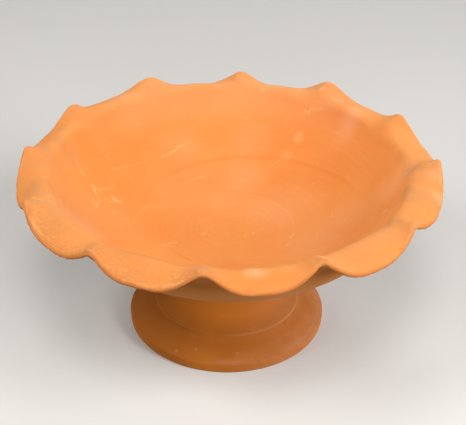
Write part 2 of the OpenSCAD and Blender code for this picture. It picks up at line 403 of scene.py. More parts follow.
def build_dish():
    grid, stretch, turn, lobe = dish_grid()
    radius = np.hypot(grid[..., 0], grid[..., 1])
    near_notch = (1 - lobe) ** 2 * ramp(radius, *PINCH_FADE_IN)
    relief = dish_relief(grid, stretch, turn, near_notch)
    grid = grid + outward(grid) * relief[..., None]
    grid = np.clip(grid, np.array(low("dish")) + BOX_CLEAR, np.array(high("dish")) - BOX_CLEAR)
    skin = Skin()
    rings = skin.cover(grid, closed=False)
    flats = len(skin.points)
    close_disc(skin, rings[0][::-1], grid[0][::-1], floor_height)
    close_disc(skin, rings[-1], grid[-1], base_height)
    rim = np.where(np.array(skin.points)[:, 2] > FLOOR_Z - FLOOR_T / 2, -RIM_FAR, RIM_FAR)
    rim[:flats] = rim_reach(grid, stretch).ravel()
    skin.marks["rim"] = rim
    pinched = np.isin(stretch, ["flange", "edge", "under_flange"])[:, None]
    pinch = np.zeros(len(skin.points))
    pinch[:flats] = np.where(pinched, near_notch, 0).ravel()
    skin.marks["pinch"] = pinch
    return skin.build("dish_clay")


def rim_reach(grid, stretch):
    """How far each point is past the start of the edge, along the section: minus on the inside."""
    steps = np.linalg.norm(np.diff(grid, axis=0), axis=-1)
    along = np.concatenate([np.zeros((1, grid.shape[1])), np.cumsum(steps, axis=0)])
    return np.maximum(along - along[np.argmax(stretch == "edge")], -RIM_FAR)


def floor_height(x, y):
    """Height of the inside's floor: a faint spiral round a small button, and a fine raised ring."""
    radius = np.hypot(x, y)
    spiral = np.sin(math.tau * radius / SPIRAL_PITCH + np.arctan2(y, x))
    spiral = spiral * ramp(radius, *SPIRAL_FADE_IN) * (1 - ramp(radius, *SPIRAL_FADE_OUT))
    button = BUTTON_RISE * bump(radius, 0, BUTTON_R)
    fine_ring = FINE_RING_RISE * bump(radius, FLOOR_R - FINE_RING_IN, FINE_RING_W)
    return FLOOR_Z + SPIRAL_RISE * spiral + button + fine_ring


def base_height(x, y):
    """Height of the dish's underside, with its trimming lines."""
    radius = np.hypot(x, y)
    lines = 1 + np.sin(math.tau * radius / TRIM_PITCH + np.arctan2(y, x))
    return BASE_Z + TRIM_RISE * lines * (1 - ramp(radius, *TRIM_FADE_OUT))


def close_disc(skin, ring, points, height):
    """Rings of a flat disc from a ring inward, with half as many points when they crowd."""
    points = np.asarray(points)
    unit = points[:, :2] / np.hypot(points[:, 0], points[:, 1])[:, None]
    radius = np.hypot(points[0, 0], points[0, 1]) - DISC_STEP
    while radius > DISC_HOLE_R:
        if len(unit) > DISC_STATIONS and math.tau * radius / len(unit) < DISC_CROWDED:
            unit = unit[::2]
        x, y = (unit * radius).T
        inner = skin.ring(np.stack([x, y, height(x, y)], -1).tolist())
        skin.bridge(ring, inner)
        ring = inner
        radius -= DISC_STEP
    centre = np.zeros(1)
    skin.cap(ring, [0.0, 0.0, float(height(centre, centre)[0])])


# The pedestal

def pedestal_section():
    """Points of the pedestal's section, and the name of the stretch that each is in."""
    edge_centre = np.array([FOOT_R - FOOT_EDGE_ROUND, FOOT_EDGE_H - FOOT_EDGE_ROUND])
    edge_top = edge_centre + FOOT_EDGE_ROUND * climbing(90 - FOOT_SLOPE)
    step_foot = np.array([SHOULDER_R, SHOULDER_H - SHOULDER_STEP])
    shoulder_centre = np.array([SHOULDER_R - SHOULDER_ROUND, SHOULDER_H - SHOULDER_ROUND])
    shoulder_top = shoulder_centre + SHOULDER_ROUND * climbing(90 - FLARE_SLOPE)
    waist = np.array([WAIST_R, WAIST_H])
    collar_foot = np.array([COLLAR_R, COLLAR_TOP - COLLAR_H])
    collar_top = np.array([COLLAR_R, COLLAR_TOP])
    mouth_r = FOOT_R - FOOT_RING_W
    mouth = [mouth_r, HOLLOW_EDGE_H]
    wall = np.array([STEM_T, 0])
    outer_corner = np.array([FOOT_R - FOOT_RING_ROUND, FOOT_RING_ROUND])
    inner_corner = np.array([mouth_r + FOOT_RING_ROUND, FOOT_RING_ROUND])
    down = np.array([0, FOOT_RING_ROUND])
    band = np.linspace(0, 1, BAND_ROWS + 1)[1:, None]
    shoulder = rounding(shoulder_centre, SHOULDER_ROUND, 0, 90 - FLARE_SLOPE, SHOULDER_ROWS)
    stretches = [
        ("edge", rounding(outer_corner, FOOT_RING_ROUND, -90, 0)),
        ("edge", rounding(edge_centre, FOOT_EDGE_ROUND, 0, 90 - FOOT_SLOPE)),
        ("top", curve(edge_top, 180 - FOOT_SLOPE, step_foot, 180 - STEP_SLOPE)[1:]),
        ("step", shoulder),
        ("stem", curve(shoulder_top, 180 - FLARE_SLOPE, waist, 90, FLARE_BOW)[1:]),
        ("stem", curve(waist, 90, collar_foot, 90, steps=NECK_ROWS)[1:]),
        ("stem", blend(collar_foot, collar_top, band)),
        ("collar", blend(collar_top, collar_top - wall, band)),
        ("hollow", blend(collar_top - wall, collar_foot - wall, band)),
        ("hollow", curve(collar_foot - wall, -90, waist - wall, -90, steps=NECK_ROWS)[1:]),
        ("hollow", curve(waist - wall, -90, mouth, -HOLLOW_SLOPE, FLARE_BOW)[1:]),
        ("ring", rounding(inner_corner, FOOT_RING_ROUND, 180, 270)),
        ("ring", blend(inner_corner - down, outer_corner - down, band)[:-1]),
    ]
    names = np.concatenate([[name] * len(points) for name, points in stretches])
    return np.concatenate([points for _, points in stretches]), names


def pedestal_relief(grid, names, turn):
    """How far each point of the pedestal stands out from its plain form."""
    height = grid[..., 2]
    turns = np.broadcast_to(turn, height.shape)
    outside = np.isin(names, ["top", "stem", "step"])[:, None]
    hollow = (names == "hollow")[:, None]
    edge = (names == "edge")[:, None]
    depth = FOOT_SWAY * wander(grid, FOOT_SWAY_SIZE, seed=11)
    depth += np.where(outside, FOOT_THROW * throwing(grid, turns, FOOT_PITCH, seed=12), 0)
    depth += np.where(hollow, HOLLOW_THROW * throwing(grid, turns, HOLLOW_PITCH, seed=13), 0)
    depth += np.where(edge, FOOT_DENT * wander(grid, FOOT_DENT_SIZE, seed=14), 0)
    below_collar = 1 - ramp(height, COLLAR_TOP - COLLAR_FLAT, COLLAR_TOP)
    return depth * (ramp(height, *RING_FLAT) * below_collar)


def build_pedestal():
    section, names = pedestal_section()
    turn = np.arange(0, 360, FOOT_TURN_STEP)
    grid = spin(section, turn)
    normal = outward(grid)
    normal[0] = normal[-1] = [0, 0, -1]
    radius = np.hypot(grid[..., 0], grid[..., 1])
    height = grid[..., 2]
    skin = Skin()
    skin.cover(grid + normal * pedestal_relief(grid, names, turn)[..., None])
    on_top = np.isin(names, ["top", "stem", "step", "edge"])[:, None]
    # Worn ridge and shoulder line: worn pale, and partly painted highlight
    ridge = bump(radius, FOOT_R - WORN_RIDGE_IN, WORN_RIDGE_W) * ramp(height, *WORN_RIDGE_FADE_IN)
    line = bump(np.hypot(radius - SHOULDER_R, height - SHOULDER_H), 0, WORN_LINE_W)
    skin.marks["wear_and_highlight"] = (on_top * np.maximum(ridge, line)).ravel()
    # Painted shade in a band just outside the shoulder's step
    beside = bump(radius, SHOULDER_R + SHADED_OUT, SHADED_W) * (height < SHOULDER_H - SHADED_UNDER)
    skin.marks["shade"] = (on_top * beside).ravel()
    return skin.build("pedestal_clay")


# The seam

def build_coil():
    """The coil, smoothed with a fingertip: it thins out over the collar and under the dish."""
    centre = np.array([COLLAR_R + COIL_REACH, COIL_LOW])
    angles = np.linspace(180, 90, COIL_ROWS + 1)
    arc = centre + (COIL_REACH - COIL_DIP) * climbing(angles)
    arc[:, 1] = np.minimum(arc[:, 1], BASE_Z - COIL_CLEAR)
    back_r, back_top = COLLAR_R - COIL_TUCK_IN, BASE_Z + COIL_TUCK_UP
    back = np.array([[centre[0], back_top], [back_r, back_top], [back_r, COIL_LOW]])
    turn = np.arange(0, 360, COIL_TURN_STEP)
    grid = spin(np.concatenate([arc, back]), turn)
    share = np.concatenate([np.linspace(0, 1, len(arc)), np.zeros(len(back))])[:, None]
    middle = np.sin(math.pi * share) ** 0.5
    radians = np.radians(turn)
    dabs = np.abs(np.sin(DABS / 2 * radians + DAB_SWAY * np.sin(radians * DAB_SWAYS)))
    depth = COIL_SWELL - DAB_DEPTH * dabs + COIL_DENT * wander(grid, COIL_DENT_SIZE, seed=21)
    depth = middle * depth
    depth[len(arc):] = 0
    skin = Skin()
    skin.cover(grid + outward(grid) * depth[..., None])
    return skin.build("coil_clay")


def build_slip():
    """The slip, pressed out in an uneven bead inside the collar."""
    inner = COLLAR_R - STEM_T
    outer = COLLAR_R - SLIP_INSET
    bead = rounding([inner, (COLLAR_TOP + BASE_Z) / 2], BEAD_R, 270, 90, BEAD_ROWS)
    section = np.concatenate([[[outer, BASE_Z]], [[outer, COLLAR_TOP]], bead])
    grid = spin(section, np.arange(0, 360, SLIP_TURN_STEP))
    reach = BEAD_EVEN + (1 - BEAD_EVEN) * wander(grid, BEAD_SIZE, seed=31)
    on_bead = np.arange(len(section)) >= len(section) - len(bead)
    pull = np.where(on_bead[:, None], reach * BEAD_PULL, 0)
    grid[..., :2] *= (1 - pull / inner)[..., None]
    skin = Skin()
    skin.cover(grid)
    return skin.build("slip_clay")


# Materials

class Shader:
    """Short calls that add the nodes of one material."""

    def __init__(self, name):
        self.material = bpy.data.materials.new(name)
        self.material.use_nodes = True
        self.nodes = self.material.node_tree.nodes
        self.links = self.material.node_tree.links
        self.nodes.clear()
        self.output = self.nodes.new("ShaderNodeOutputMaterial")

    def put(self, socket, value):
        """Link another node's output to a socket, or set its own value."""
        if isinstance(value, bpy.types.NodeSocket):
            self.links.new(value, socket)
        elif value is not None:
            socket.default_value = value

    def math(self, operation, a, b=None):
        node = self.nodes.new("ShaderNodeMath")
        node.operation = operation
        for socket, value in zip(node.inputs, (a, b)):
            self.put(socket, value)
        return node.outputs[0]

    def times(self, first, *others):
        for other in others:
            first = self.math("MULTIPLY", first, other)
        return first

    def plus(self, first, *others):
        for other in others:
            first = self.math("ADD", first, other)
        return first

    def most(self, values):
        """The largest value. Each is added in its turn, which keeps the shader's stack small."""
        top = 0.0
        for value in values:
            top = self.math("MAXIMUM", top, value)
        return top

    def vector(self, operation, a, b=None, scale=None):
        node = self.nodes.new("ShaderNodeVectorMath")
        node.operation = operation
        self.put(node.inputs[0], a)
        self.put(node.inputs[1], b)
        self.put(node.inputs[3], scale)
        return node.outputs[1 if operation in ("DOT_PRODUCT", "DISTANCE") else 0]

    def split(self, vector):
        node = self.nodes.new("ShaderNodeSeparateXYZ")
        self.put(node.inputs[0], vector)
        return node.outputs

    def join(self, x, y, z):
        node = self.nodes.new("ShaderNodeCombineXYZ")
        for socket, value in zip(node.inputs, (x, y, z)):
            self.put(socket, value)
        return node.outputs[0]

    def mix(self, share, a, b):
        """Colour a, with a share of colour b over it."""
        node = self.nodes.new("ShaderNodeMix")
        node.data_type = "RGBA"
        self.put(node.inputs["Factor"], share)
        self.put(node.inputs[6], a)
        self.put(node.inputs[7], b)
        return node.outputs[2]

    def noise(self, where, scale, detail=4.0, roughness=0.6, output="Fac"):
        node = self.nodes.new("ShaderNodeTexNoise")
        self.put(node.inputs["Vector"], where)
        node.inputs["Scale"].default_value = scale
        node.inputs["Detail"].default_value = detail
        node.inputs["Roughness"].default_value = roughness
        return node.outputs[output]

    def rise(self, value, first, last):
        """0 before first and 1 after last, with a smooth rise between."""
        node = self.nodes.new("ShaderNodeMapRange")
        node.interpolation_type = "SMOOTHSTEP"
        self.put(node.inputs["Value"], value)
        node.inputs["From Min"].default_value = first
        node.inputs["From Max"].default_value = last
        return node.outputs["Result"]

    def span(self, value, fade_in, fade_out):
        """1 between the two fades and 0 outside them."""
        start, end = fade_out
        return self.times(self.rise(value, *fade_in), self.rise(value, end, start))

    def specks(self, where, scale, size, share):
        """1 at the middle of scattered specks, in a share of the cells, and 0 away from them."""
        node = self.nodes.new("ShaderNodeTexVoronoi")
        self.put(node.inputs["Vector"], where)
        node.inputs["Scale"].default_value = scale
        chosen = self.math("LESS_THAN", self.split(node.outputs["Color"])[0], share)
        return self.times(chosen, self.rise(node.outputs["Distance"], size, size * SPECK_CORE))

    def stroke(self, where, first, last, width, strength):
        """Strength on the line from first to last, which fades to 0 at its sides."""
        way = [b - a for a, b in zip(first, last)]
        length = sum(c * c for c in way)
        place = self.vector("SUBTRACT", where, first)
        along = self.vector("DOT_PRODUCT", place, [c / length for c in way])
        along = self.math("MINIMUM", self.math("MAXIMUM", along, 0.0), 1.0)
        away = self.vector("DISTANCE", place, self.vector("SCALE", way, scale=along))
        return self.times(self.rise(away, width * STROKE_END, width * STROKE_CORE), strength)

    def spot(self, where, middle, size, strength, core=0.2):
        """Strength in the core of a round patch, which fades to 0 at half its size away."""
        away = self.vector("DISTANCE", where, middle)
        return self.times(self.rise(away, size / 2, size * core), strength)

    def attribute(self, name):
        node = self.nodes.new("ShaderNodeAttribute")
        node.attribute_name = name
        return node.outputs["Fac"]


def paint(red, green, blue):
    """A colour as it is seen, turned into the linear values that a shader takes."""
    seen = [red / 255, green / 255, blue / 255]
    return [c / 12.92 if c <= 0.04045 else ((c + 0.055) / 1.055) ** 2.4 for c in seen] + [1.0]


DISH_TONE, DISH_DEEP, DISH_PALE = paint(234, 150, 75), paint(230, 141, 64), paint(238, 164, 96)
# The pedestal's tones, which the coil and slip share, are darker than the dish's: painted shade from
# the dish above them
FOOT_TONE, FOOT_DEEP, FOOT_PALE = paint(197, 116, 35), paint(184, 104, 27), paint(210, 131, 58)
CHALK, STAIN_AND_SHADE, EDGE_AND_SHADE = paint(255, 214, 150), paint(226, 126, 48), paint(192, 104, 42)
DUST_AND_SHADE, GRIT, OUTSIDE_SHADE = paint(186, 132, 86), paint(120, 66, 34), paint(206, 128, 52)
SHEEN_FILM, FOOT_PALE_MARK_AND_SHEEN, WASH_AND_LIGHT = paint(222, 148, 84), paint(206, 138, 92), paint(244, 184, 136)
STEM_LIGHT, FOOT_SHADOW = paint(226, 136, 38), paint(150, 84, 24)

# Chalky strokes inside the dish: both ends as shares of MARK_R, width in millimetres, strength
STROKES = [
    (-0.8, 0.165, -0.77, 0.11, 1.7, 0.9), (-0.8, 0.165, -0.74, 0.15, 1.5, 0.6),
    (-0.77, 0.16, -0.7, 0.21, 1.3, 0.55), (-0.7, 0.21, -0.68, 0.265, 1.1, 0.4),
    (-0.79, 0.025, -0.75, -0.01, 1.5, 0.6), (-0.75, 0.075, -0.755, 0.005, 1.5, 0.6),
    (-0.78, 0, -0.75, 0.02, 1.3, 0.45), (-0.72, 0.11, -0.69, 0.095, 1.5, 0.55),
    (-0.685, 0.15, -0.63, 0.14, 2.4, 0.9), (-0.685, 0.15, -0.65, 0.125, 1.8, 0.7),
    (-0.685, 0.105, -0.67, 0.115, 1.5, 0.4), (-0.66, 0.01, -0.655, 0.015, 2.4, 0.55),
    (-0.59, 0, -0.56, -0.06, 1.6, 0.3), (-0.545, 0.04, -0.54, -0.035, 1.5, 0.3),
    (-0.46, 0.23, -0.52, 0.09, 1.5, 0.35), (-0.91, 0.255, -0.865, 0.21, 1.1, 0.3),
    (-0.865, 0.21, -0.85, 0.2, 2.1, 0.7), (-0.7, 0.38, -0.695, 0.385, 2, 0.5),
    (-0.695, 0.38, -0.625, 0.45, 1, 0.35), (-0.625, 0.45, -0.53, 0.525, 1, 0.35),
    (-0.525, 0.535, -0.52, 0.54, 2, 0.4), (-0.59, 0.385, -0.575, 0.34, 1.3, 0.3),
    (-0.95, -0.2, -0.875, -0.32, 1.8, 0.25), (-0.42, 0.61, -0.375, 0.64, 1.7, 0.7),
    (-0.375, 0.64, -0.305, 0.715, 1.7, 0.7), (-0.305, 0.715, -0.245, 0.75, 1.5, 0.5),
    (-0.285, 0.43, -0.24, 0.48, 1.9, 0.3), (-0.24, 0.48, -0.16, 0.53, 1.9, 0.3),
    (-0.33, -0.17, -0.29, -0.165, 2.4, 0.4), (-0.47, -0.3, -0.43, -0.36, 1.4, 0.25),
    (-0.205, -0.315, -0.15, -0.37, 1.3, 0.3), (0.565, 0.905, 0.6, 0.94, 2, 0.7),
    (0.635, 0.84, 0.71, 0.79, 2.8, 0.4), (0.26, 0.6, 0.32, 0.63, 1.8, 0.35),
    (0.475, 0.84, 0.5, 0.82, 1.8, 0.5), (0.5, 0.83, 0.57, 0.8, 1.6, 0.3),
    (0.08, 0.905, 0.12, 0.895, 1.6, 0.45), (0.085, 1.09, 0.115, 1.06, 1.6, 0.45),
    (1.05, 0, 0.99, -0.035, 1.5, 0.4), (1.11, -0.05, 1.155, -0.045, 2, 0.55),
    (0.61, 0.08, 0.61, 0.04, 1.6, 0.35), (0.57, 0.27, 0.585, 0.28, 1.6, 0.4),
    (0.51, 0.39, 0.515, 0.39, 1.8, 0.45), (0.38, 0.09, 0.38, 0.03, 1.4, 0.25),
    (0.38, -0.05, 0.36, -0.1, 1.6, 0.35), (0.345, -0.16, 0.335, -0.185, 1.6, 0.35),
    (0.06, -0.085, 0.115, -0.09, 1.6, 0.3), (-0.66, -0.6, -0.63, -0.66, 1.8, 0.3),
    (-0.675, -0.92, -0.67, -0.92, 2.6, 0.7), (-0.64, -0.88, -0.61, -0.855, 2.2, 0.4),
    (-1.045, -0.385, -0.975, -0.435, 2.4, 0.4), (-1.015, -0.59, -0.94, -0.705, 2.6, 0.55),
    (-0.42, -1.12, -0.37, -1.135, 1.8, 0.35), (-0.37, -1.135, -0.29, -1.15, 2, 0.45),
    (-0.29, -1.15, -0.2, -1.155, 2.2, 0.6), (0.125, -1.045, 0.165, -1.045, 2, 0.3),
]

# Pale round patches inside the dish: middle as shares of MARK_R, size in millimetres, strength
PATCHES = [
    (0.435, 0.735, 11, 0.4), (0.355, 0.64, 13, 0.35), (0.33, 0.655, 5, 0.45), (0.21, 0.99, 6, 0.3),
    (0.43, 0.95, 3, 0.5), (0.875, -0.185, 3.6, 0.6), (0.15, -0.045, 2.8, 0.4),
    (-0.14, -0.07, 5, 0.45), (-0.34, -0.19, 10, 0.2), (-0.39, 0.33, 2.2, 0.5), (0.7, -0.38, 3, 0.3),
]

# Pale washes inside the dish, in the same form, that fade from the middle out; those on the right lip
# and right walls are painted highlight and light
WASHES_AND_LIGHT = [
    (0.42, 0.9, 60, 0.15), (0.75, 0.66, 38, 0.5), (0.5, -0.15, 90, 0.2), (0.3, 0.2, 90, 0.25),
    (-0.2, 0.4, 110, 0.1), (-0.75, -0.1, 90, 0.1), (-0.5, -0.6, 60, 0.1), (0.66, -0.05, 70, 0.2),
    (0.95, 0, 44, 0.3), (-0.05, 0.3, 70, 0.15), (0.1, 0.52, 60, 0.25), (0.13, 0.78, 70, 0.15),
    (-0.3, 0.7, 50, 0.15), (1.15, -0.12, 24, 0.5), (1.14, -0.3, 24, 0.5), (0.115, -1.07, 14, 0.55),
    (0.145, -1.07, 14, 0.6), (0.175, -1.07, 13, 0.5), (-0.8, -0.34, 56, 0.3),
]

# Darker, more deeply coloured clouds inside the dish, in the same form as the patches
STAINS = [
    (-0.62, 0.48, 56, 0.6), (0.6, 0.42, 52, 0.5), (0.48, 0.52, 36, 0.25), (-0.45, 0.28, 30, 0.3),
    (-0.6, 0, 90, 0.5), (-0.4, -0.68, 70, 0.7), (-0.72, -0.35, 60, 0.6), (-0.4, 0.5, 80, 0.4),
    (-0.7, 0.15, 60, 0.6), (-0.57, 0.28, 50, 0.7), (-0.78, 0.35, 44, 0.6), (-0.56, -0.88, 40, 0.6),
    (0.02, -0.5, 60, 0.3), (-0.44, -0.98, 1.6, 1), (-0.29, -1.12, 1.8, 1), (-0.18, -0.1, 1.2, 0.8),
]

# Dull, dusty clouds inside the dish and on its flange, in the same form; those along the crest at the
# right and left are painted shade
DUSTS_AND_SHADES = [
    (-1, -0.28, 34, 0.7), (-0.95, 0.24, 26, 0.7), (-0.72, 0.78, 22, 0.4), (-0.8, -0.6, 50, 0.5),
    (0.9, -0.2, 30, 0.2), (1.03, 0.16, 24, 0.35), (1, -0.54, 16, 0.4), (-0.97, -0.54, 40, 0.55),
    (0.46, -1.04, 12, 0.9), (-0.1, -1.1, 22, 0.7), (0.8, -0.66, 50, 0.6), (-0.66, -0.88, 16, 0.5),
    (0.64, -0.83, 40, 0.6), (-1.08, 0.05, 50, 0.5), (-0.52, -0.97, 60, 0.4), (1.03, -0.34, 34, 0.7),
    (1.07, -0.18, 24, 0.6), (0.98, -0.26, 22, 0.8), (-0.82, -0.28, 60, 0.45),
]

# Small pale dabs on the foot's top: middle as shares of FOOT_R, size in millimetres, strength
FOOT_DABS = [
    (-0.48, -0.81, 3, 0.7), (-0.29, -0.82, 3.2, 0.6), (0.12, -0.87, 2.6, 0.5), (0.38, -0.3, 5, 0.4),
]

# Softness of strokes and specks, as shares of their width or size
STROKE_END, STROKE_CORE, SPECK_CORE = 0.68, 0.12, 0.4

# Share of a mark's colour, or of its painted light or shade, where the mark is full
STAINED, RIB_SHADED, SHEEN_FILMED, DUSTED_AND_SHADED, CREASE_SHADED, CHALKED = 0.6, 0.3, 0.5, 0.45, 0.35, 0.52
SCUFFED, ROUGHENED, WORN, EDGE_SHADED, GOUGED = 0.3, 0.2, 0.12, 0.55, 0.45
FAR_LIT, OUTSIDE_SHADE_NEAR_RIM, OUTSIDE_SHADE_BELOW = 0.24, 0.45, 0.4

# Where the dish's marks and its painted light and shade fade in or out, in millimetres past the start
# of the rim's edge
INSIDE_ENDS, FRONT_LEFT_ENDS, DUST_AND_SHADE_ENDS = (4.5, 0.5), (5.0, 2.0), (7.5, 4.5)
SHEEN_FILM_STARTS, SCUFFS_START, ROUGH_STARTS = (-30.0, -12.0), (-16.0, -3.0), (-24.0, -12.0)
LIP_FADE_IN, LIP_FADE_OUT = (-7.0, 0.5), (4.0, 7.0)
BAND_STARTS, OUTSIDE_STARTS, BELOW_STARTS = (-0.5, 4.0), (3.0, 8.0), (12.0, 34.0)

# The same for the far band of painted light atop the back wall, the rib and the crease, in radians of
# turn or shares of MARK_R
FAR_FADE_IN, FAR_FADE_OUT, FAR_BAND = (0.4, 1.0), (2.2, 2.7), (0.84, 1.0)
RIB_LINE = (0.014, 0.002)
CREASE_FADE_IN, CREASE_FADE_OUT = (-2.85, -2.5), (-1.4, -1.1)
CREASE_R, CREASE_BEND, CREASE_WAVE, CREASE_W = 1.025, 0.074, -0.02, 0.035
CREASE_FRONT_TURN = 1.5

# The same in metres across the dish, and how dusty its back is and how much more its front
FRONT_LEFT_Y, FRONT_LEFT_X = (-0.02, -0.09), (0.04, -0.03)
DUSTY_FRONT_Y, DUSTY_BACK, DUSTY_FRONT = (0.03, -0.03), 0.4, 0.6

# The pedestal's marks, and its painted shadow, light and sheen, in the same form, in metres across and
# up the foot
FOOT_SHADOWED, STEM_LIT, FOOT_SHEENED, FOOT_WORN_AND_LIT, FOOT_SHADED = 0.4, 0.6, 0.6, 0.5, 0.5
SHADOW_LEFT_X, SHADOW_LOW_Z, STEM_Z = (-0.005, -0.065), (0.03, 0.015), (0.018, 0.026)
FOOT_SHEEN_X, FOOT_LIT_SIDE_X, DABS_Z = (-0.01, 0.06), (-0.05, 0.01), (0.0, 0.004)

# Scales of the clay's patterns, and how much each colours the clay
CLOUDS, MOTTLE, GRAIN, DUST_PATCHES, SCRAPES, WEAR_PATCHES = 11.0, 85.0, 900.0, 70.0, 420.0, 25.0
WHEEL_ROUND, WHEEL_ALONG, STREAKS = 0.5, 60.0, 3.0
LIP_ALONG, LIP_LINES = 0.16, 9.0
STREAKED, MOTTLED, GRAINED = 0.18, 0.2, 0.15
PALE_SPECKS, GRIT_SPECKS = (190.0, 0.1, 0.04), (150.0, 0.09, 0.04)
PALE_SPECKED, GRIT_SPECKED = 0.7, 0.55

# Values of a pattern between which a colour or a mark comes in
CLOUD_CUT, STREAK_CUT, GRAIN_CUT = (0.35, 0.68), (0.5, 0.75), (0.58, 0.8)
PALE_CUT, DEEP_CUT = (0.52, 0.72), (0.5, 0.28)
CHALK_GRAIN, PATCH_MOTTLE = (0.34, 0.58), (0.25, 0.6)
SHEEN_FILM_MOTTLE, DUST_AND_SHADE_MOTTLE = (0.2, 0.75), (0.1, 0.5)
DUST_CUT, SCUFF_CUT, ROUGH_CUT = (0.36, 0.66), (0.5, 0.8), (0.52, 0.3)
WORN_CUT, GOUGED_CUT = (0.54, 0.66), (0.44, 0.36)
FOOT_SHEEN_MOTTLE, FOOT_WORN_CUT = (0.0, 0.8), (0.35, 0.65)

# Surface of the clay: roughness, and bumps in metres
CLAY_ROUGHNESS, MOTTLE_ROUGHNESS = 0.72, 0.2
GRAIN_BUMP, MOTTLE_BUMP, STREAK_BUMP, BUMP_STRENGTH = 0.00006, 0.0001, 0.00012, 0.6

# How far the outlines of marks wobble, in metres, and what turns a place into its plan
WOBBLE_SCALE, WOBBLE = 160.0, 0.0024
PLAN = (1, 1, 0)


class Clay(Shader):
    """A shader with the places and patterns that all marks on the clay are made from."""

    def __init__(self, name):
        super().__init__(name)
        self.where = self.nodes.new("ShaderNodeTexCoord").outputs["Object"]
        self.x, self.y, self.z = x, y, z = self.split(self.where)
        self.radius = self.math("SQRT", self.plus(self.times(x, x), self.times(y, y)))
        near = self.math("MAXIMUM", self.radius, MM)
        self.around = self.math("DIVIDE", x, near), self.math("DIVIDE", y, near)
        along = self.times(self.plus(self.radius, self.times(z, THROW_CLIMB)), WHEEL_ALONG)
        sides = [self.times(side, WHEEL_ROUND) for side in self.around]
        self.streaks = self.noise(self.join(*sides, along), STREAKS)
        self.clouds = self.noise(self.where, CLOUDS, detail=2.0, roughness=0.55)
        self.mottle = self.noise(self.where, MOTTLE)
        self.grain = self.noise(self.where, GRAIN, detail=2.0)


def plain_clay(s, tone, deep, pale):
    """The clay's own colour: clouded, streaked round the wheel's axis, and grained."""
    colour = s.mix(s.rise(s.clouds, *CLOUD_CUT), tone, deep)
    colour = s.mix(s.times(s.rise(s.streaks, *STREAK_CUT), STREAKED), colour, pale)
    colour = s.mix(s.times(s.rise(s.mottle, *PALE_CUT), MOTTLED), colour, pale)
    colour = s.mix(s.times(s.rise(s.mottle, *DEEP_CUT), MOTTLED), colour, deep)
    return s.mix(s.times(s.rise(s.grain, *GRAIN_CUT), GRAINED), colour, pale)


def in_dish(x, y):
    """A place in the dish's plan, in metres, from shares of MARK_R."""
    return [x * MARK_R * MM, y * MARK_R * MM, 0.0]


def dish_spots(s, where, table, **form):
    """The strongest of a table's round marks at each place of the dish."""
    return s.most(s.spot(where, in_dish(x, y), size * MM, f, **form) for x, y, size, f in table)


def mark_dish(s, colour):
    """The dish's marks: strokes and patches, stains, dusty notches and a chafed edge, with painted
    light, sheen and shade among them.
    """
    flat = s.vector("MULTIPLY", s.where, PLAN)
    wobble = s.noise(s.where, WOBBLE_SCALE, detail=2.0, roughness=0.5, output="Color")
    wobble = s.vector("SCALE", s.vector("SUBTRACT", wobble, (0.5, 0.5, 0.5)), scale=WOBBLE)
    wobble = s.vector("MULTIPLY", wobble, PLAN)
    place = s.vector("ADD", flat, wobble)
    wide = s.vector("ADD", flat, s.vector("SCALE", wobble, scale=2.0))
    strokes = s.most(
        s.stroke(place, in_dish(a, b), in_dish(c, d), width * MM, f)
        for a, b, c, d, width, f in STROKES
    )
    patches = dish_spots(s, wide, PATCHES)
    stains = dish_spots(s, wide, STAINS)
    washes = dish_spots(s, flat, WASHES_AND_LIGHT, core=0.0)
    dusts_and_shades = dish_spots(s, wide, DUSTS_AND_SHADES)
    rim, pinch = s.attribute("rim"), s.attribute("pinch")
    inside = s.rise(rim, *INSIDE_ENDS)
    chalk = s.times(strokes, s.rise(s.grain, *CHALK_GRAIN))
    chalk = s.math("MAXIMUM", chalk, s.times(patches, s.rise(s.mottle, *PATCH_MOTTLE)))
    colour = s.mix(s.times(stains, inside, STAINED), colour, STAIN_AND_SHADE)
    turn = s.math("ARCTAN2", s.y, s.x)
    share = s.math("DIVIDE", s.radius, MARK_R * MM)
    # Painted light: the top of the back wall paler, where more light falls on it
    far = s.span(turn, FAR_FADE_IN, FAR_FADE_OUT)
    far = s.times(far, s.rise(share, *FAR_BAND), FAR_LIT)
    # Pale washes, some of them painted highlight and light, and the far band's painted light
    colour = s.mix(s.times(s.math("MAXIMUM", washes, far), inside), colour, WASH_AND_LIGHT)
    # Painted shade along the spiral rib, where its surface turns from the light
    colour = s.mix(s.times(rib_line(s, turn, share), inside, RIB_SHADED), colour, STAIN_AND_SHADE)
    # A pale, greyer film towards the rim: partly haze, partly painted sheen
    film = s.times(s.rise(rim, *SHEEN_FILM_STARTS), s.rise(s.mottle, *SHEEN_FILM_MOTTLE))
    colour = s.mix(s.times(film, inside, SHEEN_FILMED), colour, SHEEN_FILM)
    # Dust in the notches, and dusty clouds that along the crest are painted shade
    colour = s.mix(s.times(dust_and_shade(s, dusts_and_shades, rim, pinch), DUSTED_AND_SHADED), colour, DUST_AND_SHADE)
    # Painted shade along the crease at the crest
    colour = s.mix(s.times(crease_line(s, turn, share), inside, CREASE_SHADED), colour, EDGE_AND_SHADE)
    colour = s.mix(s.times(chalk, inside, CHALKED), colour, CHALK)
    colour = scuff_front_left(s, colour, rim)
    return wear_and_shade_rim(s, colour, rim, pinch)


def rib_line(s, turn, share):
    """Painted shade: the darker line along the spiral rib on the back wall."""
    away = s.math("SUBTRACT", RIB_START, s.times(turn, RIB_WIDENING))
    away = s.math("ABSOLUTE", s.math("SUBTRACT", share, away))
    return s.times(s.rise(away, *RIB_LINE), s.span(turn, RIB_FADE_IN, RIB_FADE_OUT))


